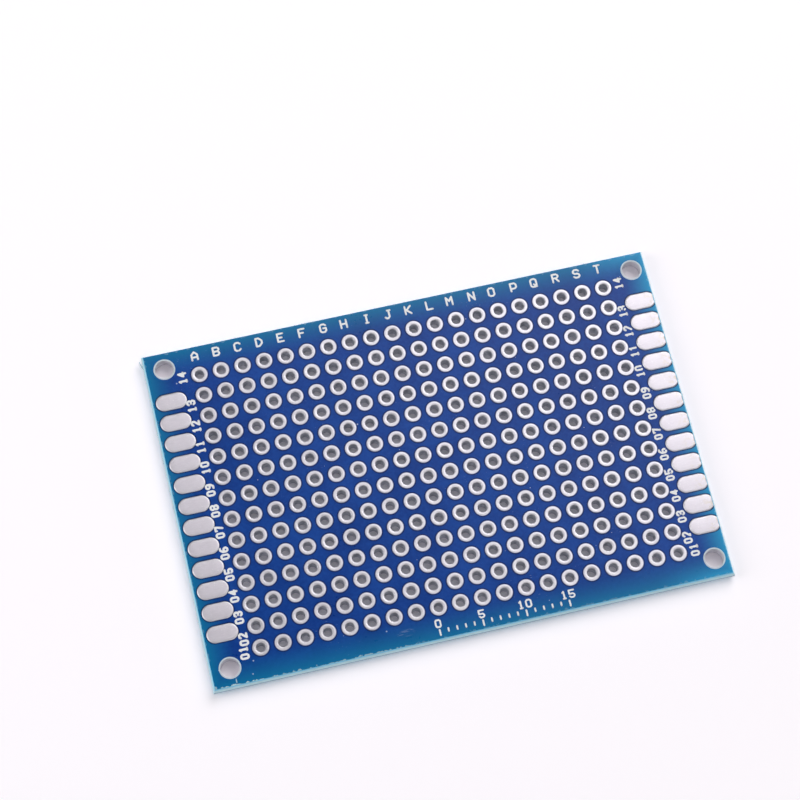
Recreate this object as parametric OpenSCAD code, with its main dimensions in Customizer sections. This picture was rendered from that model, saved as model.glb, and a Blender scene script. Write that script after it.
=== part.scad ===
// Double-sided prototype board with a grid of plated lead holes, soldering pads
// along its two short edges and a screw hole in each corner.
// It was snapped out of a panel along V-shaped grooves, so its edges have two flanks
// and a torn web between them. It lies on its back with the lettered face up. The
// origin is at the middle of the board, on the surface that it lies on, and X runs
// along the columns' order.

/* [Board] */
// Length of a face, between the grooves that the board was snapped along
board_l = 59.6; // [58.4:0.1:66]
// Width of a face, between the grooves that the board was snapped along
board_w = 40; // [38:0.1:48]
// Thickness of the glass and epoxy core
core_t = 1.5; // [0.7:0.1:2.3]
// How far the groove's flank stands out past a face
flank_w = 0.25; // [0.1:0.05:0.35]
// Thickness of the web between the two grooves, torn when the board is snapped off
web_t = 0.4; // [0.2:0.1:0.6]
// Thickness of the solder mask on each face
mask_t = 0.025; // [0.015:0.005:0.03]
// Bare gap between the mask and the metal of every pad
mask_gap = 0.06; // [0.03:0.01:0.1]
// How far right of the board's middle the drilled pattern sits
pattern_shift_x = 0.25; // [-0.4:0.05:0.4]
// How far above the board's middle the drilled pattern sits
pattern_shift_y = 0.05; // [-0.4:0.05:0.4]

/* [Lead holes] */
// Columns of lead holes, lettered from the left
columns = 20; // [4:1:20]
// Rows of lead holes, numbered from the bottom
rows = 14; // [5:1:14]
// Distance from one lead hole to the next
pitch = 2.54; // [2.3:0.01:2.56]
// Free bore of a plated lead hole
lead_hole_d = 1.0; // [0.7:0.05:1.2]
// Outer diameter of the ring pads
ring_d = 1.95; // [1.6:0.05:2.1]
// Thickness of copper and tin on the wall of a lead hole
plating_t = 0.05; // [0.03:0.01:0.08]
// Thickness of copper and tin on the faces of the board
pad_t = 0.05; // [0.04:0.005:0.08]
// Radius that the tin leaves at the mouth of a lead hole
mouth_r = 0.12; // [0.04:0.01:0.12]
// Radius that the tin leaves at the outer edge of a ring pad
rim_r = 0.03; // [0.01:0.01:0.04]

/* [Edge pads] */
// Length of an edge pad, across the short edge of the board
edge_pad_l = 3.6; // [2.4:0.1:3.6]
// Width of an edge pad
edge_pad_w = 1.96; // [1.4:0.02:2.1]
// Nominal distance from the face's end to the outer end of an edge pad
edge_pad_inset = 0.06; // [-0.4:0.02:0.2]
// Rows at the top and at the bottom that have no edge pad
rows_without_pad = 1; // [1:1:2]

/* [Corner holes] */
// Diameter of the corner screw holes
screw_hole_d = 2.2; // [1.6:0.1:2.4]
// Distance from the short edge to a screw hole's middle
screw_inset_x = 1.86; // [1.8:0.02:2.4]
// Distance from the long edge to a screw hole's middle
screw_inset_y = 2; // [1.8:0.05:2.4]
// Width of the bare ring that the mask leaves round a screw hole
screw_rim_w = 0.16; // [0.05:0.01:0.2]

/* [Hidden] */
$fn = 48;
mask_colour = [0.05, 0.25, 0.55];
core_colour = [0.81, 0.87, 0.86];
tin_colour = [0.86, 0.85, 0.88];

column_letters = "abcdefghijklmnopqrst";
function column_node(column) = str("plated_holes_", column_letters[column]);

// Heights, from the surface that the board lies on
core_z = pad_t;
front_z = core_z + core_t;
board_t = core_t + 2 * pad_t;
groove_depth = (core_t - web_t) / 2;

// Places in the drilled pattern, from its own middle
function column_x(column) = (column - (columns - 1) / 2) * pitch;
function row_y(row) = (row - (rows - 1) / 2) * pitch;
edge_pad_rows = [rows_without_pad : rows - 1 - rows_without_pad];
edge_pad_x = board_l / 2 - edge_pad_inset - edge_pad_l / 2;
screw_x = board_l / 2 - screw_inset_x;
screw_y = board_w / 2 - screw_inset_y;

// Section of a plated lead hole
bore_r = lead_hole_d / 2;
drill_r = bore_r + plating_t;
ring_r = ring_d / 2;
half_t = board_t / 2;
// The radius at the mouth is no larger than the metal behind it can hold
radius_per_metal = 1.4;
lip_r = min(mouth_r, radius_per_metal * (plating_t + pad_t));
arc_steps = 3;
function arc(centre, r, start, end) = [
    for (i = [0 : arc_steps])
        let (angle = start + (end - start) * i / arc_steps)
        centre + r * [cos(angle), sin(angle)]
];
upper_section = concat(
    arc([bore_r + lip_r, half_t - lip_r], lip_r, 180, 90),
    arc([ring_r - rim_r, half_t - rim_r], rim_r, 90, 0),
    [[ring_r, core_t / 2], [drill_r, core_t / 2]]
);
lower_section = [
    for (i = [len(upper_section) - 1 : -1 : 0])
        [upper_section[i][0], -upper_section[i][1]]
];

// Flat outlines that several pieces share
module face() {
    square([board_l, board_w], center = true);
}

module in_pattern() {
    translate([pattern_shift_x, pattern_shift_y, 0]) children();
}

module at_lead_holes() {
    in_pattern()
        for (column = [0 : columns - 1], row = [0 : rows - 1])
            translate([column_x(column), row_y(row)]) children();
}

module at_screw_holes() {
    in_pattern()
        for (x = [-screw_x, screw_x], y = [-screw_y, screw_y])
            translate([x, y]) children();
}

// The pads of one short edge, side -1 for the left and 1 for the right,
// grown all round by the given margin
module edge_pad_outlines(side, margin) {
    width = edge_pad_w + 2 * margin;
    in_pattern()
        for (row = edge_pad_rows)
            translate([side * edge_pad_x, row_y(row)]) {
                square([edge_pad_l - edge_pad_w, width], center = true);
                for (end = [-1, 1])
                    translate([end * (edge_pad_l - edge_pad_w) / 2, 0]) circle(d = width);
            }
}

// Upright section of the core between two of its edges: each edge is the flank of the
// upper groove, the torn web and the flank of the lower groove
module snapped_section(face_width) {
    face_x = face_width / 2;
    web_x = face_x + flank_w;
    right_edge = [
        [face_x, 0],
        [web_x, groove_depth],
        [web_x, core_t - groove_depth],
        [face_x, core_t]
    ];
    left_edge = [for (i = [len(right_edge) - 1 : -1 : 0]) [-right_edge[i][0], right_edge[i][1]]];
    polygon(concat(right_edge, left_edge));
}

// The core is a sheet drilled for every lead and screw, and snapped off along grooves
module substrate() {
    color(core_colour)
        translate([0, 0, core_z])
            intersection() {
                linear_extrude(core_t)
                    difference() {
                        square([board_l + 2 * flank_w, board_w + 2 * flank_w], center = true);
                        at_lead_holes() circle(r = drill_r);
                        at_screw_holes() circle(d = screw_hole_d);
                    }
                rotate([90, 0, 0])
                    linear_extrude(board_w + 2 * flank_w, center = true) snapped_section(board_l);
                rotate([90, 0, 90])
                    linear_extrude(board_l + 2 * flank_w, center = true) snapped_section(board_w);
            }
}

// The mask is a film of lacquer with a window over every pad and screw hole
module solder_mask(z) {
    color(mask_colour)
        translate([0, 0, z])
            linear_extrude(mask_t)
                difference() {
                    face();
                    at_lead_holes() circle(r = ring_r + mask_gap);
                    at_screw_holes() circle(r = screw_hole_d / 2 + screw_rim_w);
                    for (side = [-1, 1]) edge_pad_outlines(side, mask_gap);
                }
}

module front_solder_mask() {
    solder_mask(front_z);
}

module back_solder_mask() {
    solder_mask(core_z - mask_t);
}

// One column of lead holes: each is a tinned barrel with a ring pad on both faces
module plated_holes(column) {
    color(tin_colour)
        translate([0, 0, half_t])
            in_pattern()
                for (row = [0 : rows - 1])
                    translate([column_x(column), row_y(row), 0])
                        rotate_extrude() polygon(concat(upper_section, lower_section));
}

// A row of tinned pads along one short edge, cut off where the groove cuts them
module edge_pads(side, z) {
    color(tin_colour)
        translate([0, 0, z])
            linear_extrude(pad_t)
                intersection() {
                    face();
                    edge_pad_outlines(side, 0);
                }
}

module front_left_edge_pads() {
    edge_pads(-1, front_z);
}

module front_right_edge_pads() {
    edge_pads(1, front_z);
}

module back_left_edge_pads() {
    edge_pads(-1, core_z - pad_t);
}

module back_right_edge_pads() {
    edge_pads(1, core_z - pad_t);
}

substrate();
front_solder_mask();
back_solder_mask();
for (column = [0 : columns - 1])
    plated_holes(column);
front_left_edge_pads();
front_right_edge_pads();
back_left_edge_pads();
back_right_edge_pads();
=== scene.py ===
import math
import bmesh
import bpy
from mathutils import Matrix, Vector


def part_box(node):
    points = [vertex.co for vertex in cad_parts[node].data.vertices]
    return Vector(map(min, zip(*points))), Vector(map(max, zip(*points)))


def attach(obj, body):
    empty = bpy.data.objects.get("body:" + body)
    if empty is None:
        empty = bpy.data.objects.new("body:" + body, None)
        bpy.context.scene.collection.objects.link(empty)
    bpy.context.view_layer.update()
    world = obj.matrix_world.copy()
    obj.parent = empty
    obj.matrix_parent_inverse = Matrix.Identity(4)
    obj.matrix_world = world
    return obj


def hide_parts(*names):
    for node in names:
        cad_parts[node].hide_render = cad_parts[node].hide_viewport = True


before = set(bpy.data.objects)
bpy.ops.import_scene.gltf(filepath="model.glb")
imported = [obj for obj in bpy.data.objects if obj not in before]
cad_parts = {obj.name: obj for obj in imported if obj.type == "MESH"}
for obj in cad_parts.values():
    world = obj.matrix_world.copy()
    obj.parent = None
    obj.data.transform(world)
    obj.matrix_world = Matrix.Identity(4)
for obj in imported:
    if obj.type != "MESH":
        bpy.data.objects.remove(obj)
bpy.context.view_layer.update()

# Substrate: a sheet of woven glass set in epoxy. It was drilled, scored along grooves
# from both faces and snapped out of its panel, so each edge has two scored flanks and
# between them a torn web, where glass fibres stand out.
MM = 0.001
PITCH = 2.54
PATTERN = (0.25, 0.05)
COLUMNS, ROWS = 20, 14
SCREWS = (27.94, 18.0)
SCREW_R, SCREW_RIM_R = 1.1, 1.26
RING_R = 0.975
PAD_L, PAD_W, PAD_ROWS = 3.6, 1.96, 12
LEFT_PAD_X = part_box("front_left_edge_pads")[0].x / MM + PAD_L / 2
RIGHT_PAD_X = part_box("front_right_edge_pads")[0].x / MM + PAD_L / 2
PADS_MIDDLE, PADS_APART = (LEFT_PAD_X + RIGHT_PAD_X) / 2, RIGHT_PAD_X - LEFT_PAD_X
face_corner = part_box("front_solder_mask")[1]
FACE_X, FACE_Y = face_corner.x / MM, face_corner.y / MM
low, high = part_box("substrate")
WEB_X, WEB_Y = high.x / MM, high.y / MM
CORE_LOW, CORE_HIGH = low.z / MM, high.z / MM
CORE_MIDDLE = (CORE_LOW + CORE_HIGH) / 2
PLY_T = 0.189


class Field:
    """A value or colour that changes over a surface. Arithmetic on it adds the nodes."""

    def __init__(self, tree, socket=None):
        self.tree = tree
        self.socket = socket

    def node(self, kind, settings=None, sockets=None, out=0):
        made = self.tree.nodes.new(kind)
        for name, value in (settings or {}).items():
            if name == "stops":
                for stop, (place, colour) in zip(made.color_ramp.elements, value):
                    stop.position, stop.color = place, colour
            else:
                setattr(made, name, value)
        for name, value in (sockets or {}).items():
            if isinstance(value, Field):
                self.tree.links.new(value.socket, made.inputs[name])
            else:
                made.inputs[name].default_value = value
        return Field(self.tree, made.outputs[out])

    def other(self, out):
        return Field(self.tree, self.socket.node.outputs[out])

    def maths(self, operation, *values):
        """One Math or Vector Math node, on this field alone where no values are given."""
        values = values or (self,)
        vector = any(
            isinstance(v, tuple) or isinstance(v, Field) and v.socket.type == "VECTOR"
            for v in values
        )
        kind = "ShaderNodeVectorMath" if vector else "ShaderNodeMath"
        if vector:
            values = [(v,) * 3 if isinstance(v, (int, float)) else v for v in values]
        return self.node(kind, {"operation": operation}, dict(enumerate(values)))

    def __add__(self, other):
        return self.maths("ADD", self, other)

    def __radd__(self, other):
        return self.maths("ADD", other, self)

    def __sub__(self, other):
        return self.maths("SUBTRACT", self, other)

    def __rsub__(self, other):
        return self.maths("SUBTRACT", other, self)

    def __mul__(self, other):
        return self.maths("MULTIPLY", self, other)

    def __truediv__(self, other):
        return self.maths("DIVIDE", self, other)

    def __pow__(self, other):
        return self.maths("POWER", self, other)

    def __abs__(self):
        return self.maths("ABSOLUTE", self)

    def least(self, other):
        return self.maths("MINIMUM", self, other)

    def most(self, other):
        return self.maths("MAXIMUM", self, other)

    def length(self):
        return self.node("ShaderNodeVectorMath", {"operation": "LENGTH"}, {0: self}, out="Value")

    def off_mark(self, pitch, count):
        """How far this place is from the nearest of count marks, a pitch apart round zero."""
        last = (count - 1) / 2
        mark = (self / pitch - last).maths("ROUND") + last
        return self - mark.most(last * -1).least(last) * pitch

    def axis(self, name):
        return self.node("ShaderNodeSeparateXYZ", sockets={0: self}, out=name)

    def step(self, start, end):
        """0 before start and 1 after end, with a soft change between them."""
        limits = {"Value": self, "From Min": start, "From Max": end}
        return self.node("ShaderNodeMapRange", {"interpolation_type": "SMOOTHSTEP"}, limits)

    def grain(self, scale, detail=2.0, stretch=(1.0, 1.0, 1.0)):
        """Cloudy noise of about 0 to 1 at this point, with scale clouds to the millimetre."""
        spot = self * stretch
        return self.node("ShaderNodeTexNoise", {}, {"Vector": spot, "Scale": scale, "Detail": detail})

    def between(self, one, other):
        """Colour one where this field is 0, the other where it is 1."""
        return self.node("ShaderNodeMix", {"data_type": "RGBA"}, {0: self, 6: one, 7: other}, out=2)

    def relief(self, depth_mm):
        """A surface raised by this field times the depth."""
        return self.node("ShaderNodeBump", {}, {"Height": self, "Distance": depth_mm * MM, "Strength": 1.0})


def paint(red, green, blue):
    """The colour that a screen shows for these three numbers, for a shader's socket."""
    shares = [v / 255 for v in (red, green, blue)]
    return (*[s / 12.92 if s <= 0.04045 else ((s + 0.055) / 1.055) ** 2.4 for s in shares], 1.0)


def finish(name, constants, look):
    """A material whose shader takes these constants and the fields that look(spot) gives, spot in mm."""
    material = bpy.data.materials.new(name)
    material.use_nodes = True
    tree = material.node_tree
    shader = tree.nodes["Principled BSDF"]
    for socket, value in constants.items():
        shader.inputs[socket].default_value = value
    spot = Field(tree).node("ShaderNodeTexCoord", out="Object") * (1 / MM)
    for socket, field in look(spot).items():
        tree.links.new(field.socket, shader.inputs[socket])
    return material


def dress(node, material):
    """Gives a node of the frame this material."""
    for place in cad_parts[node].material_slots:
        place.material = material


def from_screw(spot):
    """Distance in mm from the nearest screw hole's middle, the same at every height."""
    across = abs(abs(spot.axis("X") - PATTERN[0]) - SCREWS[0])
    along = abs(abs(spot.axis("Y") - PATTERN[1]) - SCREWS[1])
    return (across * across + along * along) ** 0.5


def from_ring(spot):
    """Distance in mm from the rim of the nearest ring pad."""
    across = (spot.axis("X") - PATTERN[0]).off_mark(PITCH, COLUMNS)
    along = (spot.axis("Y") - PATTERN[1]).off_mark(PITCH, ROWS)
    return (across * across + along * along) ** 0.5 - RING_R


def from_pad(spot):
    """Distance in mm from the rim of the nearest edge pad, less than 0 on the pad."""
    across = (abs(abs(spot.axis("X") - PADS_MIDDLE) - PADS_APART / 2) - (PAD_L - PAD_W) / 2).most(0.0)
    along = (spot.axis("Y") - PATTERN[1]).off_mark(PITCH, PAD_ROWS)
    return (across * across + along * along) ** 0.5 - PAD_W / 2


def patch(spot, place, size):
    """1 inside an oval of this size round a place on the front face, and 0 elsewhere."""
    inside = ((spot - (*place, CORE_HIGH)) / (size[0] / 2, size[1] / 2, 1.0)).length()
    return inside.step(1.25, 0.75)


def glass_and_epoxy(spot):
    """Painted dark shade on the faces, which show only in the narrow gaps by the metal; pale where bare
    round the screw holes, and cyan where light leaves it by the film.
    """
    tilt = abs(spot.node("ShaderNodeNewGeometry", out="Normal").axis("Z"))
    from_middle = abs(spot.axis("Z") - CORE_MIDDLE)
    plies = abs((spot.axis("Z") * (math.pi / PLY_T)).maths("SINE"))
    fibres = spot.grain(2.6, 4.0, (1.0, 1.0, 5.0))
    streaks = plies * 0.3 + fibres * 0.7
    web = streaks.between(paint(116, 158, 180), paint(196, 218, 232))
    flank = streaks.between(paint(182, 238, 254), paint(230, 250, 255))
    lit = from_middle.step(0.4, 0.74).between(flank, paint(122, 216, 252))
    edge = tilt.step(0.1, 0.3).between(web, lit)
    drilled = fibres.between(paint(204, 203, 212), paint(240, 239, 245))
    hole = from_screw(spot).step(SCREW_R + 0.4, SCREW_R + 0.2)
    wall = hole.between(edge, drilled)
    bare = from_screw(spot).step(SCREW_RIM_R + 0.05, SCREW_RIM_R)
    # Painted shade: the faces are dark navy where they show in the narrow gaps between the film and the
    # metal, and pale round the screw holes.
    face = bare.between(paint(8, 30, 84), paint(214, 228, 234))
    return {
        "Base Color": tilt.step(0.7, 0.9).between(wall, face),
        "Normal": (fibres + plies * 0.4).relief(0.03),
    }


woven_glass = finish("woven_glass", {"Roughness": 0.62, "Specular IOR Level": 0.3}, glass_and_epoxy)
dress("substrate", woven_glass)


def recipe(name, **inputs):
    """A new Geometry Nodes tree with these named inputs, and its inputs as fields."""
    tree = bpy.data.node_groups.new(name, "GeometryNodeTree")
    tree.interface.new_socket("Geometry", in_out="INPUT", socket_type="NodeSocketGeometry")
    for label, kind in inputs.items():
        tree.interface.new_socket(label, in_out="INPUT", socket_type="NodeSocket" + kind)
    tree.interface.new_socket("Geometry", in_out="OUTPUT", socket_type="NodeSocketGeometry")
    given = tree.nodes.new("NodeGroupInput")
    return tree, {s.name: Field(tree, s) for s in given.outputs if s.name}


def serve(tree, geometry, material):
    """Ends a tree in real, smooth faces of one material."""
    real = geometry.node("GeometryNodeRealizeInstances", {}, {"Geometry": geometry})
    smooth = real.node("GeometryNodeSetShadeSmooth", {}, {"Geometry": real})
    painted = smooth.node("GeometryNodeSetMaterial", {}, {"Geometry": smooth, "Material": material})
    end = tree.nodes.new("NodeGroupOutput")
    tree.links.new(painted.socket, end.inputs["Geometry"])


def make(name, slot, tree, start=None, **values):
    """Runs a tree once with these inputs, and keeps the result as a plain mesh of the object."""
    piece = bpy.data.objects.new(name, start or bpy.data.meshes.new(name))
    bpy.context.scene.collection.objects.link(piece)
    maker = piece.modifiers.new("maker", "NODES")
    maker.node_group = tree
    for item in tree.interface.items_tree:
        if item.in_out == "INPUT" and item.name in values:
            maker[item.identifier] = values[item.name]
    seen = piece.evaluated_get(bpy.context.evaluated_depsgraph_get())
    mesh = bpy.data.meshes.new_from_object(seen)
    piece.modifiers.clear()
    piece.data = mesh
    mesh.name = name
    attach(piece, "root")
    return piece


def loose_glass(spot):
    """White strands with a breath of the blue light that leaves the sheet."""
    strands = spot.grain(5.0, 3.0)
    return {
        "Base Color": strands.between(paint(150, 190, 202), paint(232, 241, 243)),
        "Normal": strands.relief(0.01),
    }


torn_glass = finish("torn_glass", {"Roughness": 0.55, "Specular IOR Level": 0.3}, loose_glass)

FIBRE_R, FIBRE_L, FIBRE_STEP, FIBRE_SINK = 0.03, 0.13, 0.12, 0.04
WEB_HALF_T = 0.2

fibre_tree, given = recipe(
    "torn_fibres", Step="Float", Radius="Float", Length="Float", Spread="Float", Sink="Float",
    Seed="Int", Glass="Material",
)
start = Field(fibre_tree)
edge_line = start.node("GeometryNodeMeshToCurve", {}, {"Mesh": given["Geometry"]})
marks = start.node(
    "GeometryNodeResampleCurve", {"mode": "LENGTH"}, {"Curve": edge_line, "Length": given["Step"]}
)
along = start.node("GeometryNodeInputTangent")
outward = start.node("ShaderNodeVectorMath", {"operation": "CROSS_PRODUCT"}, {0: along, 1: (0.0, 0.0, 1.0)})
tuft = (start.node("GeometryNodeInputPosition") * (1 / MM)).grain(0.9, 3.0).step(0.42, 0.72)
bend = start.node(
    "FunctionNodeRandomValue", {"data_type": "FLOAT_VECTOR"},
    {0: (-0.8, -0.8, -0.6), 1: (0.8, 0.8, 0.6), "Seed": given["Seed"]},
)
lift = start.node(
    "FunctionNodeRandomValue", {"data_type": "FLOAT"},
    {2: given["Spread"] * -1, 3: given["Spread"], "Seed": given["Seed"]}, out=1,
)
raised = start.node("ShaderNodeCombineXYZ", sockets={"Z": lift}) - outward * given["Sink"]
rooted = start.node("GeometryNodeSetPosition", {}, {"Geometry": marks, "Offset": raised})
fibre = start.node(
    "GeometryNodeMeshCone", {},
    {"Vertices": 5, "Radius Top": given["Radius"] * 0.3, "Radius Bottom": given["Radius"],
     "Depth": given["Length"]},
)
pointing = start.node(
    "FunctionNodeAlignRotationToVector", {"axis": "Z"}, {"Vector": outward + bend * (tuft * 0.7 + 0.3)}
)
thick = start.node(
    "FunctionNodeRandomValue", {"data_type": "FLOAT"}, {2: 0.6, 3: 1.5, "Seed": given["Seed"]}, out=1
)
size = start.node("ShaderNodeCombineXYZ", sockets={"X": thick, "Y": thick, "Z": thick * (tuft * 1.1 + 0.45)})
fibres = start.node(
    "GeometryNodeInstanceOnPoints", {},
    {"Points": rooted, "Instance": fibre, "Rotation": pointing, "Scale": size},
)
serve(fibre_tree, fibres, given["Glass"])

web_line = bpy.data.meshes.new("web_line")
web_corners = [(-WEB_X, -WEB_Y), (WEB_X, -WEB_Y), (WEB_X, WEB_Y), (-WEB_X, WEB_Y)]
web_line.from_pydata(
    [Vector((*corner, CORE_MIDDLE)) * MM for corner in web_corners], [(0, 1), (1, 2), (2, 3), (3, 0)], []
)
make(
    "torn_edge_fibres", "laminate", fibre_tree, start=web_line, Step=FIBRE_STEP * MM, Radius=FIBRE_R * MM,
    Length=FIBRE_L * MM, Spread=(WEB_HALF_T - FIBRE_R) * MM, Sink=FIBRE_SINK * MM, Seed=11,
    Glass=torn_glass,
)

# The snap split one corner of the web: a sliver of it stands out from the edge
SLIVER = [
    (-30.0, 18.7), (-30.0, 19.15), (-30.12, 19.3), (-30.2, 19.55), (-30.27, 19.85),
    (-30.36, 19.83), (-30.34, 19.5), (-30.24, 19.15), (-30.12, 18.9),
]
SLIVER_LOW, SLIVER_HIGH, SLIVER_ROUND = 0.72, 1.0, 0.025
splinter = bpy.data.meshes.new("corner_splinter")
form = bmesh.new()
rim = [form.verts.new(Vector((x, y, SLIVER_LOW)) * MM) for x, y in SLIVER]
sole = form.faces.new(rim)
grown = bmesh.ops.extrude_face_region(form, geom=[sole])["geom"]
for vertex in grown:
    if isinstance(vertex, bmesh.types.BMVert):
        vertex.co.z = SLIVER_HIGH * MM
bmesh.ops.bevel(form, geom=form.edges[:], offset=SLIVER_ROUND * MM, segments=2, affect="EDGES")
bmesh.ops.recalc_face_normals(form, faces=form.faces[:])
form.to_mesh(splinter)
form.free()
splinter.materials.append(torn_glass)
piece = bpy.data.objects.new("corner_splinter", splinter)
bpy.context.scene.collection.objects.link(piece)
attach(piece, "root")

# Solder mask: a thin film of blue lacquer screened over each face and cured, open
# at every pad and screw hole. Light that enters the sheet at its bare edges comes
# up through the film there, so its blue turns to teal over the last 3 mm.
GLOW_W = 3.2
# Over this span the teal is painted lighter, as light falling from the right.
LIT_X = (20.0, 29.0)
CHIPPED_X, RAGGED_X = (-28.6, -24.6), (-5.0, -11.0)
SCRATCH = {"place": (-27.3, -19.55), "size": (0.13, 0.55)}
SCUFF = {"place": (-7.8, -18.5), "size": (2.0, 0.8)}
DUST = [(-25.35, -19.2), (-25.0, -17.75), (-9.85, -17.85), (-26.65, 16.05), (-2.9, 12.0), (-7.5, 6.6)]
DUST_SIZE = (0.16, 0.16)


def lacquer(spot):
    """Blue, teal by the edges as painted light, with painted shade round all metal, and with dust, scuffs
    and chips.
    """
    x, y = spot.axis("X"), spot.axis("Y")
    from_edge = (FACE_X - abs(x)).least(FACE_Y - abs(y))
    glow = (1 - from_edge / GLOW_W).most(0.0) ** 1.6
    clouds = spot.grain(0.25, 3.0) * 0.6 + spot.grain(2.6, 4.0) * 0.4
    deep = clouds.step(0.3, 0.7).between(paint(0, 56, 139), paint(12, 73, 162))
    # The teal is painted light from the edges, and painted lighter towards the right end, where more light
    # falls.
    teal = x.step(*LIT_X).between(paint(0, 116, 166), paint(30, 154, 206))
    clear = glow.between(deep, teal)
    # Painted shade: the film darkens to navy close round every ring and pad.
    shaded = from_ring(spot).least(from_pad(spot)).step(0.2, 0.05) * 0.7
    blue = shaded.between(clear, paint(4, 24, 74))
    cells = spot.node("ShaderNodeTexVoronoi", {}, {"Vector": spot, "Scale": 0.9})
    size = cells.other("Color").axis("X").step(0.62, 1.0) * 0.06
    dust = (size - cells / 0.9).step(-0.012, 0.006)
    for place in DUST:
        dust = dust.most(patch(spot, place, DUST_SIZE))
    scuffs = spot.grain(5.0, 4.0, (0.5, 2.4, 1.0)).step(0.66, 0.74) * spot.grain(0.16, 1.0).step(0.56, 0.66)
    rubbed = spot.grain(3.0, 3.0, (0.4, 2.6, 1.0)).step(0.5, 0.64)
    scuffs = scuffs.most(patch(spot, **SCUFF) * rubbed * 0.7)
    dusty = (dust * 0.75 + scuffs * 0.22).between(blue, paint(196, 214, 232))
    ragged = spot.grain(2.4, 5.0)
    nibbled = ((ragged - 0.5) * 2.2 - from_edge * 2.0).step(-0.1, 0.0)
    chipped = x.step(CHIPPED_X[0] - 0.6, CHIPPED_X[0]) * x.step(CHIPPED_X[1] + 2.0, CHIPPED_X[1])
    worn_edge = (y + FACE_Y).step(1.0, 0.6) * (chipped * 0.35 + x.step(*RAGGED_X) * 0.4) + 0.15
    chips = (nibbled * worn_edge).most(patch(spot, **SCRATCH) * 0.6)
    skin = spot.grain(1.3, 2.0) * 0.7 + spot.grain(7.0, 2.0) * 0.3
    return {
        "Base Color": chips.between(dusty, paint(200, 230, 234)),
        "Roughness": 0.24 + clouds * 0.1 + scuffs * 0.2 + chips * 0.3,
        "Normal": skin.relief(0.004),
    }


film = finish("solder_mask_film", {"IOR": 1.5, "Specular IOR Level": 0.2}, lacquer)
for node in ("front_solder_mask", "back_solder_mask"):
    dress(node, film)

# Plated holes: copper is grown on the wall of each drilled hole and on a ring round
# both its mouths, and then dipped in molten tin. The tin draws itself into a low
# crown on every ring, no two quite alike, and dulls to a satin silver-white.
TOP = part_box("plated_holes_a")[1].z / MM
LIP_R = 0.62
CROWN_IN, CROWN_OUT = 0.625, 0.94
CROWN_H, CROWN_SINK = 0.013, 0.002


def tin(spot):
    """Satin on the rings, with painted bluish shade at their rims, and mottled down in the holes."""
    mottle = spot.grain(0.8, 4.0)
    fine = spot.grain(6.5, 3.0)
    from_middle = from_ring(spot) + RING_R
    depth = TOP / 2 - abs(spot.axis("Z") - TOP / 2)
    barrel = depth.step(0.03, 0.16) * from_middle.step(LIP_R + 0.08, LIP_R)
    wall = spot.grain(1.5, 3.0).step(0.35, 0.65).between(paint(190, 194, 202), paint(228, 230, 236))
    clean = (mottle * 0.6 + fine * 0.4).between(paint(200, 197, 205), paint(238, 236, 242))
    # Painted shade and painted reflection: the outer rim of each ring is darkened and tinted blue like the
    # film beside it.
    rim_shade = from_ring(spot).step(-0.1, -0.01).between(clean, paint(112, 130, 178))
    return {
        "Base Color": barrel.between(rim_shade, wall),
        "Roughness": 0.42 + mottle * 0.16,
        "Normal": (mottle * 0.7 + fine * 0.3).relief(0.006),
    }


satin_tin = finish("satin_tin", {"Metallic": 1.0}, tin)
for letter in "abcdefghijklmnopqrst":
    dress("plated_holes_" + letter, satin_tin)

crown_tree, given = recipe(
    "tin_crowns", Columns="Int", Rows="Int", Pitch="Float", Inner="Float", Outer="Float",
    Height="Float", Sink="Float", Middle="Vector", Turn="Vector", Seed="Int", Tin="Material",
)
start = Field(crown_tree)
strip = start.node(
    "GeometryNodeMeshGrid", {}, {"Size X": 1.0, "Size Y": 1.0, "Vertices X": 21, "Vertices Y": 4}
)
flat = start.node("GeometryNodeInputPosition")
turn = (flat.axis("X") + 0.5) * (-2 * math.pi)
share = flat.axis("Y") + 0.5
radius = given["Inner"] + (given["Outer"] - given["Inner"]) * share
rise = given["Height"] * (1 - (share * 2 - 1) ** 2) - given["Sink"]
ring = start.node(
    "ShaderNodeCombineXYZ",
    sockets={
        "X": radius * turn.maths("COSINE"),
        "Y": radius * turn.maths("SINE"),
        "Z": rise,
    },
)
bent = start.node("GeometryNodeSetPosition", {}, {"Geometry": strip, "Position": ring})
crown = start.node("GeometryNodeMergeByDistance", {}, {"Geometry": bent, "Distance": 1e-7})
places = start.node(
    "GeometryNodeMeshGrid",
    {},
    {
        "Size X": (given["Columns"] - 1) * given["Pitch"],
        "Size Y": (given["Rows"] - 1) * given["Pitch"],
        "Vertices X": given["Columns"],
        "Vertices Y": given["Rows"],
    },
)
swell = start.node(
    "FunctionNodeRandomValue", {"data_type": "FLOAT"}, {2: 0.65, 3: 1.35, "Seed": given["Seed"]}, out=1
)
tall = start.node("ShaderNodeCombineXYZ", sockets={"X": 1.0, "Y": 1.0, "Z": swell})
lean = start.node(
    "FunctionNodeRandomValue",
    {"data_type": "FLOAT_VECTOR"},
    {0: (-0.012, -0.012, -3.1), 1: (0.012, 0.012, 3.1), "Seed": given["Seed"]},
)
crowns = start.node(
    "GeometryNodeInstanceOnPoints",
    {},
    {"Points": places, "Instance": crown, "Rotation": lean, "Scale": tall},
)
settled = start.node(
    "GeometryNodeTransform",
    {},
    {"Geometry": crowns, "Translation": given["Middle"], "Rotation": given["Turn"]},
)
serve(crown_tree, settled, given["Tin"])

for face, height, turn_x in (("front", TOP, 0.0), ("back", 0.0, math.pi)):
    make(
        face + "_tin_crowns", "tinned_copper", crown_tree, Columns=COLUMNS, Rows=ROWS, Pitch=PITCH * MM,
        Inner=CROWN_IN * MM, Outer=CROWN_OUT * MM, Height=CROWN_H * MM, Sink=CROWN_SINK * MM,
        Middle=Vector((*PATTERN, height)) * MM, Turn=(turn_x, 0.0, 0.0), Seed=3, Tin=satin_tin,
    )

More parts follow.
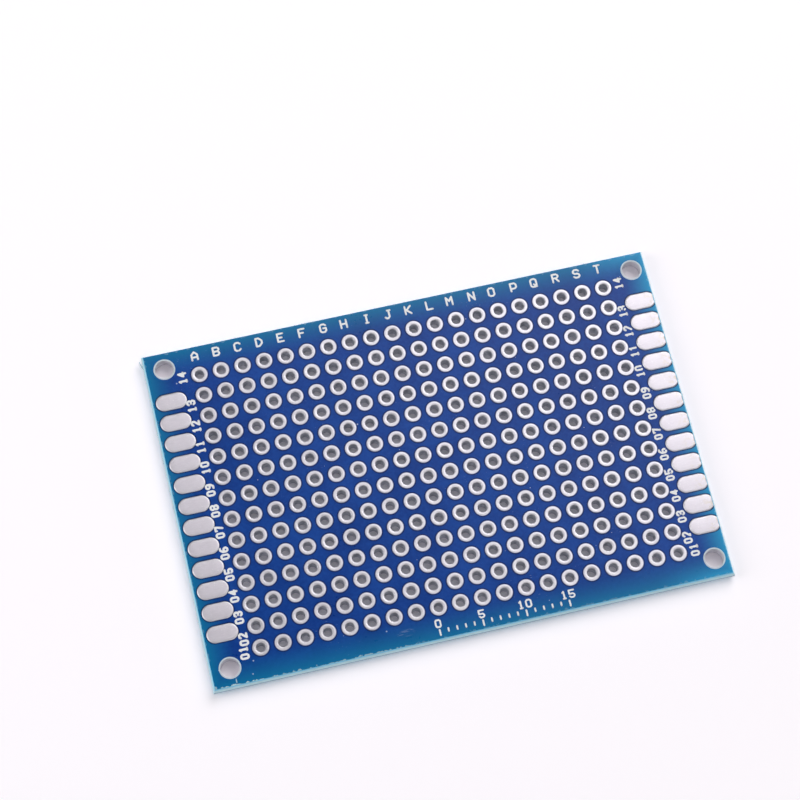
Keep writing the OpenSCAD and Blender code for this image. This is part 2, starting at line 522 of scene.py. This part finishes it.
# Edge pads: copper strips with round ends along both short edges, on both faces, for
# soldering wires and headers. Their tin is level in the middle and falls off at the
# rim. The groove takes the outer tips off the pads on the right.
PAD_H, PAD_DOME = 0.05, 0.02
STAINED_X = (28.0, 29.8)


def brushed_tin(spot):
    """Mottled and faintly brushed along the pad, with a painted highlight by its rim and painted bluish
    shade at its very edge, and stained at the right.
    """
    mottle = spot.grain(1.6, 4.0)
    strokes = spot.grain(3.0, 3.0, (0.4, 4.0, 1.0))
    pits = spot.grain(6.0, 3.0).step(0.62, 0.74)
    tone = mottle * 0.55 + strokes * 0.45
    clean = tone.between(paint(200, 195, 204), paint(232, 227, 235))
    pitted = (pits * 0.35).between(clean, paint(250, 248, 250))
    # Painted highlight: the tin is made brighter along the falling rim of each pad.
    rim = from_pad(spot).step(-0.2, -0.06)
    worn = spot.axis("X").step(*STAINED_X) * spot.grain(2.4, 4.0).step(0.5, 0.62)
    stained = (worn * 0.5).between(pitted, paint(206, 196, 176))
    rim_highlight = (rim * 0.8).between(stained, paint(248, 246, 250))
    return {
        # Painted shade: the very edge of each pad is darkened and tinted blue like the film beside it.
        "Base Color": from_pad(spot).step(-0.04, 0.0).between(rim_highlight, paint(170, 184, 224)),
        "Roughness": 0.42 + mottle * 0.18,
        "Normal": (mottle * 0.6 + strokes * 0.4).relief(0.006),
    }


pad_tin = finish("brushed_pad_tin", {"Metallic": 1.0}, brushed_tin)

pad_tree, given = recipe(
    "edge_pads", Rows="Int", Pitch="Float", Length="Float", Width="Float", Rim="Float", Dome="Float",
    Place="Vector", Turn="Vector", Cut="Float", Seed="Int", Tin="Material",
)
start = Field(pad_tree)
around, across = 57, 9
sheet = start.node(
    "GeometryNodeMeshGrid", {}, {"Size X": 1.0, "Size Y": 1.0, "Vertices X": around, "Vertices Y": across}
)
flat = start.node("GeometryNodeInputPosition")
turn = (flat.axis("X") + 0.5 - 0.5 / (around - 1)) * (-2 * math.pi)
share = (flat.axis("Y") + 0.5) * (across - 1)
inward = ((share - 2) / (across - 3)).most(0.0)
reach = given["Width"] * 0.5 * (1 - inward) * share.step(0.0, 1.0)
side = turn.maths("COSINE").maths("SIGN")
profile = given["Rim"] * share.step(1.0, 2.0) + given["Dome"] * (1 - (1 - inward) ** 2.6)
stadium = start.node(
    "ShaderNodeCombineXYZ",
    sockets={
        "X": side * (given["Length"] - given["Width"]) * 0.5 + reach * turn.maths("COSINE"),
        "Y": reach * turn.maths("SINE"),
        "Z": profile,
    },
)
bent = start.node("GeometryNodeSetPosition", {}, {"Geometry": sheet, "Position": stadium})
pad = start.node("GeometryNodeMergeByDistance", {}, {"Geometry": bent, "Distance": 1e-7})
row_line = start.node(
    "GeometryNodeMeshLine",
    {"mode": "OFFSET", "count_mode": "TOTAL"},
    {
        "Count": given["Rows"],
        "Start Location": start.node(
            "ShaderNodeCombineXYZ", sockets={"Y": given["Pitch"] * (given["Rows"] - 1) * -0.5}
        ),
        "Offset": start.node("ShaderNodeCombineXYZ", sockets={"Y": given["Pitch"]}),
    },
)
swell = start.node(
    "FunctionNodeRandomValue", {"data_type": "FLOAT"}, {2: 0.86, 3: 1.0, "Seed": given["Seed"]}, out=1
)
tall = start.node("ShaderNodeCombineXYZ", sockets={"X": 1.0, "Y": 1.0, "Z": swell})
pads = start.node(
    "GeometryNodeInstanceOnPoints", {}, {"Points": row_line, "Instance": pad, "Scale": tall}
)
placed = start.node(
    "GeometryNodeTransform",
    {},
    {"Geometry": pads, "Translation": given["Place"], "Rotation": given["Turn"]},
)
whole = start.node("GeometryNodeRealizeInstances", {}, {"Geometry": placed})
spot = start.node("GeometryNodeInputPosition")
trimmed = start.node(
    "ShaderNodeCombineXYZ",
    sockets={"X": spot.axis("X").least(given["Cut"]), "Y": spot.axis("Y"), "Z": spot.axis("Z")},
)
cut = start.node("GeometryNodeSetPosition", {}, {"Geometry": whole, "Position": trimmed})
serve(pad_tree, cut, given["Tin"])

for face, height, turn_x in (("front", CORE_HIGH, 0.0), ("back", CORE_LOW, math.pi)):
    for side_name, pad_x in (("left", LEFT_PAD_X), ("right", RIGHT_PAD_X)):
        node = f"{face}_{side_name}_edge_pads"
        piece = make(
            "tinned_" + node, "tinned_copper", pad_tree, Rows=PAD_ROWS, Pitch=PITCH * MM,
            Length=PAD_L * MM, Width=PAD_W * MM, Rim=(PAD_H - PAD_DOME) * MM, Dome=PAD_DOME * MM,
            Place=Vector((pad_x, PATTERN[1], height)) * MM,
            Turn=(turn_x, 0.0, 0.0), Cut=FACE_X * MM, Seed=5, Tin=pad_tin,
        )
        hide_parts(node)

# Legend: white ink screened on the front film in strokes of one width. Letters name
# the columns and upright numbers the rows at both ends. The ink is kept off the
# bare metal, so strokes that come too near an edge pad stop short of it.
LETTER_STROKE_W, LEFT_STROKE_W, RIGHT_STROKE_W, SCALE_STROKE_W = 0.235, 0.27, 0.25, 0.21
INK_RISE, INK_STEP, INK_WOBBLE, INK_CLEAR = 0.12, 0.09, 0.05, 0.29
FILM_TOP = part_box("front_solder_mask")[1].z / MM

# Each stroke is a run of points on a grid 4 wide and 6 high, two digits to a point
STROKES = {
    "A": "00 04 26 44 40, 02 42", "B": "00 06 36 45 44 33 03, 33 42 41 30 00",
    "C": "45 36 16 05 01 10 30 41", "D": "00 06 26 44 42 20 00", "E": "46 06 00 40, 03 33",
    "F": "46 06 00, 03 33", "G": "45 36 16 05 01 10 30 41 43 23", "H": "00 06, 40 46, 03 43",
    "I": "16 36, 26 20, 10 30", "J": "26 46, 36 31 20 10 01", "K": "00 06, 46 13 40, 03 13",
    "L": "06 00 40", "M": "00 06 23 46 40", "N": "00 06 40 46", "O": "10 01 05 16 36 45 41 30 10",
    "P": "00 06 36 45 43 32 02", "Q": "10 01 05 16 36 45 41 30 10, 22 40",
    "R": "00 06 36 45 44 33 03, 23 40", "S": "45 36 16 05 04 13 33 42 41 30 10 01",
    "T": "06 46, 26 20", "0": "10 01 05 16 36 45 41 30 10", "1": "15 26 20, 10 30",
    "2": "05 16 36 45 44 00 40", "3": "05 16 36 45 44 33 13, 33 42 41 30 10 01",
    "4": "30 36 02 42", "5": "46 06 03 33 42 41 30 10 01", "6": "46 26 04 01 10 30 41 42 33 03",
    "7": "05 06 46 20", "8": "13 04 05 16 36 45 44 33 13 02 01 10 30 41 42 33",
    "9": "00 20 42 45 36 16 05 04 13 43",
}


def write(runs, text, middle, width, height, gap, stroke_w, quarter_turns=0):
    """Adds to runs the strokes of a text round its middle, with these outer sizes in mm of a character."""
    wide, tall = width - stroke_w, height - stroke_w
    advance = width + gap
    turned = Matrix.Rotation(quarter_turns * math.pi / 2, 2)
    for place, character in enumerate(text):
        shift = (place - (len(text) - 1) / 2) * advance
        for stroke in STROKES[character].split(", "):
            points = []
            for x, y in stroke.split():
                spot = Vector((shift + (int(x) / 4 - 0.5) * wide, (int(y) / 6 - 0.5) * tall))
                points.append(turned @ spot + Vector(middle) + Vector(PATTERN))
            runs.append(points)


def column_x(column):
    return (column - (COLUMNS - 1) / 2) * PITCH


def row_y(row):
    return (row - (ROWS - 1) / 2) * PITCH


def white_ink(spot):
    """White, and bluish where the ink is thin."""
    cloud = spot.grain(1.2, 3.0)
    thin = spot.grain(7.0, 3.0).step(0.60, 0.72)
    return {
        "Base Color": (cloud * 0.1 + thin * 0.14).between(paint(255, 255, 255), paint(176, 200, 226)),
        "Roughness": 0.5 + cloud * 0.2,
        "Normal": spot.grain(6.0, 3.0).relief(0.004),
    }


legend_ink = finish("legend_ink", {"Specular IOR Level": 0.4}, white_ink)

ink_tree, given = recipe(
    "ink_strokes", Radius="Float", Rise="Float", Step="Float", Height="Float", Clear="Float",
    Middle="Vector", Pitch="Float", Rows="Int", Pad="Vector", Ink="Material",
)
start = Field(ink_tree)
drawn = start.node("GeometryNodeMeshToCurve", {}, {"Mesh": given["Geometry"]})
fine = start.node(
    "GeometryNodeResampleCurve", {"mode": "LENGTH"}, {"Curve": drawn, "Length": given["Step"]}
)
dotted = start.node("GeometryNodeCurveToMesh", {}, {"Curve": fine})
spot = start.node("GeometryNodeInputPosition") - given["Middle"]
lengthwise = (abs(abs(spot.axis("X")) - given["Pad"].axis("X")) - given["Pad"].axis("Y")).most(0.0)
sideways = spot.axis("Y").off_mark(given["Pitch"], given["Rows"])
off_pad = (lengthwise * lengthwise + sideways * sideways) ** 0.5 - given["Pad"].axis("Z")
near = start.node(
    "FunctionNodeCompare",
    {"data_type": "FLOAT", "operation": "LESS_THAN"},
    {0: off_pad, 1: given["Clear"]},
)
kept = start.node("GeometryNodeDeleteGeometry", {"domain": "POINT"}, {"Geometry": dotted, "Selection": near})
lines = start.node("GeometryNodeMeshToCurve", {}, {"Mesh": kept})
section = start.node(
    "GeometryNodeCurvePrimitiveCircle", {"mode": "RADIUS"}, {"Resolution": 8, "Radius": given["Radius"]}
)
bead = start.node(
    "GeometryNodeCurveToMesh", {}, {"Curve": lines, "Profile Curve": section, "Fill Caps": True}
)
drop = start.node(
    "GeometryNodeMeshUVSphere", {}, {"Segments": 10, "Rings": 5, "Radius": given["Radius"]}
)
ends = start.node("GeometryNodeCurveEndpointSelection", {}, {"Start Size": 1, "End Size": 1})
end_drops = start.node(
    "GeometryNodeInstanceOnPoints", {}, {"Points": lines, "Selection": ends, "Instance": drop}
)
far = start.node(
    "FunctionNodeCompare",
    {"data_type": "FLOAT", "operation": "GREATER_THAN"},
    {0: off_pad, 1: given["Clear"]},
)
corner_drops = start.node(
    "GeometryNodeInstanceOnPoints", {}, {"Points": given["Geometry"], "Selection": far, "Instance": drop}
)
joined = start.node("GeometryNodeJoinGeometry", {}, {"Geometry": bead})
for more in (end_drops, corner_drops):
    ink_tree.links.new(more.socket, joined.socket.node.inputs["Geometry"])
poured = start.node("GeometryNodeRealizeInstances", {}, {"Geometry": joined})
spot = start.node("GeometryNodeInputPosition")
ragged = spot.node(
    "ShaderNodeTexNoise", {}, {"Vector": spot * (1 / MM), "Scale": 6.0, "Detail": 2.0}, out="Color"
)
wobble = (ragged - (0.5, 0.5, 0.5)) * (INK_WOBBLE * MM)
level = given["Height"] + (spot.axis("Z") - given["Height"]) * given["Rise"]
flattened = start.node(
    "ShaderNodeCombineXYZ",
    sockets={
        "X": spot.axis("X") + wobble.axis("X"),
        "Y": spot.axis("Y") + wobble.axis("Y"),
        "Z": level,
    },
)
printed = start.node("GeometryNodeSetPosition", {}, {"Geometry": poured, "Position": flattened})
serve(ink_tree, printed, given["Ink"])


def print_ink(name, runs, stroke_w, clear=0.0):
    """Turns runs of points in mm into a piece of printed ink that keeps this clear of the edge pads."""
    points = [(*(p * MM), FILM_TOP * MM) for run in runs for p in run]
    edges = []
    first = 0
    for run in runs:
        edges += [(first + i, first + i + 1) for i in range(len(run) - 1)]
        first += len(run)
    lines = bpy.data.meshes.new(name)
    lines.from_pydata(points, edges, [])
    return make(
        name, "legend_ink", ink_tree, start=lines, Radius=stroke_w / 2 * MM, Rise=INK_RISE,
        Step=INK_STEP * MM, Height=FILM_TOP * MM, Clear=clear * MM, Pitch=PITCH * MM, Rows=PAD_ROWS,
        Middle=Vector((PADS_MIDDLE, PATTERN[1], 0.0)) * MM,
        Pad=Vector((PADS_APART / 2, (PAD_L - PAD_W) / 2, PAD_W / 2)) * MM,
        Ink=legend_ink,
    )


# The screen set these letters off their columns by this much
OFF_COLUMN = {"H": -0.09, "I": 0.11, "J": 0.11, "M": -0.13, "O": -0.15, "Q": -0.11}
letters = []
for column, letter in enumerate("ABCDEFGHIJKLMNOPQRST"):
    middle = (column_x(column) - 0.1 + OFF_COLUMN.get(letter, 0.0), 18.84 + 0.007 * column)
    write(letters, letter, middle, 0.9, 1.2, 0.2, LETTER_STROKE_W)
print_ink("column_letters", letters, LETTER_STROKE_W)

# The row numbers read upwards, below the middle of their rows and less so from row 10 on
LEFT = {"width": 0.72, "height": 1.08, "gap": 0.1, "stroke_w": LEFT_STROKE_W, "quarter_turns": 1}
RIGHT = {"width": 0.68, "height": 1.05, "gap": 0.1, "stroke_w": RIGHT_STROKE_W, "quarter_turns": 1}
LEFT_X, LEFT_DROPS = -25.8, (1.22, 1.05)
RIGHT_X, RIGHT_DROPS = 25.6, (1.0, 0.8)
left_numbers, right_numbers = [], []
for row in range(1, ROWS - 1):
    number, upper = f"{row + 1:02d}", row > 8
    write(left_numbers, number, (LEFT_X, row_y(row) - LEFT_DROPS[upper]), **LEFT)
    write(right_numbers, number, (RIGHT_X, row_y(row) - RIGHT_DROPS[upper]), **RIGHT)
write(left_numbers, "01", (-26.06, -16.73), **LEFT)
write(left_numbers, "14", (-26.12, 16.5), **LEFT)
write(right_numbers, "01", (26.0, -16.55), **RIGHT)
write(right_numbers, "14", (26.0, 16.7), **RIGHT)
print_ink("left_row_numbers", left_numbers, LEFT_STROKE_W)
print_ink("right_row_numbers", right_numbers, RIGHT_STROKE_W, clear=INK_CLEAR)

# A plain scale in millimetres is printed at the lower edge, for cutting leads to length
SCALE_X, SCALE_Y, SCALE_TICKS = -4.3, -19.05, 16
LONG_TICK, SHORT_TICK, NUMBER_RISE = 0.62, 0.36, 0.72
scale_marks = []
for tick in range(SCALE_TICKS):
    x = SCALE_X + tick
    long_tick = tick % 5 == 0
    low_y = SCALE_Y - (LONG_TICK if long_tick else SHORT_TICK)
    scale_marks.append([Vector((x, SCALE_Y)) + Vector(PATTERN), Vector((x, low_y)) + Vector(PATTERN)])
    if long_tick:
        write(scale_marks, str(tick), (x, SCALE_Y + NUMBER_RISE), 0.76, 1.02, 0.14, SCALE_STROKE_W)
print_ink("length_scale", scale_marks, SCALE_STROKE_W)

# Setting: a plain white table under soft studio lamps, the main one to the upper
# right, and the camera where the photograph was taken from. The table glows a little
# by itself, less so under the board and along its edges as painted shade, and more
# where the lamps no longer reach it.
TABLE_REACH = 1.5
SHADED_GLOW_BELOW, GLOW_BESIDE, GLOW_FAR = paint(66, 66, 68), paint(129, 129, 129), paint(225, 225, 225)


def white_table(spot):
    """The glow that keeps the ground white without more light on the board, dimmed under the board and at
    its edges as painted shade.
    """
    outside = (abs(spot.axis("X")) - WEB_X).most(abs(spot.axis("Y")) - WEB_Y)
    ray = spot.node("ShaderNodeLightPath", out="Is Camera Ray")
    seen = ray + ray.other("Is Glossy Ray") + ray.other("Is Transmission Ray")
    # Painted shade: the glow is dimmed under the board and over a soft band at its edges.
    near = outside.step(-0.3, 0.3).between(SHADED_GLOW_BELOW, GLOW_BESIDE)
    glow = outside.step(60.0, 600.0).between(near, GLOW_FAR)
    return {"Emission Color": seen.least(1.0).between(paint(0, 0, 0), glow)}


table_look = {
    "Base Color": (1.0, 0.95, 1.0, 1.0), "Roughness": 1.0, "Specular IOR Level": 0.0,
    "Emission Strength": 1.0,
}
floor_mesh = bpy.data.meshes.new("floor")
corners = [(-1, -1, 0), (1, -1, 0), (1, 1, 0), (-1, 1, 0)]
floor_mesh.from_pydata([Vector(corner) * TABLE_REACH for corner in corners], [], [(0, 1, 2, 3)])
floor_mesh.materials.append(finish("white_table", table_look, white_table))
floor = bpy.data.objects.new("floor", floor_mesh)
bpy.context.scene.collection.objects.link(floor)


def lamp(name, place, size, power, colour):
    """A square soft box at this place in metres, turned to the board."""
    light = bpy.data.lights.new(name, "AREA")
    light.size = size
    light.energy = power
    light.color = colour
    stand = bpy.data.objects.new(name, light)
    stand.location = place
    stand.rotation_euler = (-Vector(place)).to_track_quat("-Z", "Y").to_euler()
    bpy.context.scene.collection.objects.link(stand)


lamp("key_lamp", (0.24, 0.28, 0.44), 0.44, 2.05, (1.0, 0.99, 0.99))
lamp("left_lamp", (-0.40, 0.05, 0.28), 0.30, 0.8, (0.97, 0.98, 1.0))
lamp("front_lamp", (0.08, -0.36, 0.32), 0.30, 0.3, (1.0, 1.0, 1.0))

# The studio is darker overhead than at its white walls
CEILING = 0.12
world = bpy.data.worlds.new("studio")
bpy.context.scene.world = world
world.use_nodes = True
direction = Field(world.node_tree).node("ShaderNodeTexCoord", out="Generated")
wall_glow = direction.axis("Z").step(0.35, 0.05) * (direction.axis("Y").step(0.9, -0.9) * 0.6 + 0.4)
strength = wall_glow * (1 - CEILING) + CEILING
background = world.node_tree.nodes["Background"]
background.inputs["Color"].default_value = (0.98, 0.98, 1.0, 1.0)
world.node_tree.links.new(strength.socket, background.inputs["Strength"])

CAMERA_PLACE = Vector((-0.03052, -0.08022, 0.26875))
VIEW_LINE = Vector((0.10059, 0.31314, -0.94437))
VIEW_UP = Vector((0.21068, 0.92095, 0.32782))
eye = bpy.data.cameras.new("camera")
eye.lens = 110.63
eye.sensor_width = 36.0
camera = bpy.data.objects.new("camera", eye)
right = VIEW_LINE.cross(VIEW_UP)
camera.matrix_world = Matrix.LocRotScale(
    CAMERA_PLACE, Matrix((right, VIEW_UP, -VIEW_LINE)).transposed().to_quaternion(), None
)
bpy.context.scene.collection.objects.link(camera)
bpy.context.scene.camera = camera
bpy.context.scene.view_settings.view_transform = "Standard"
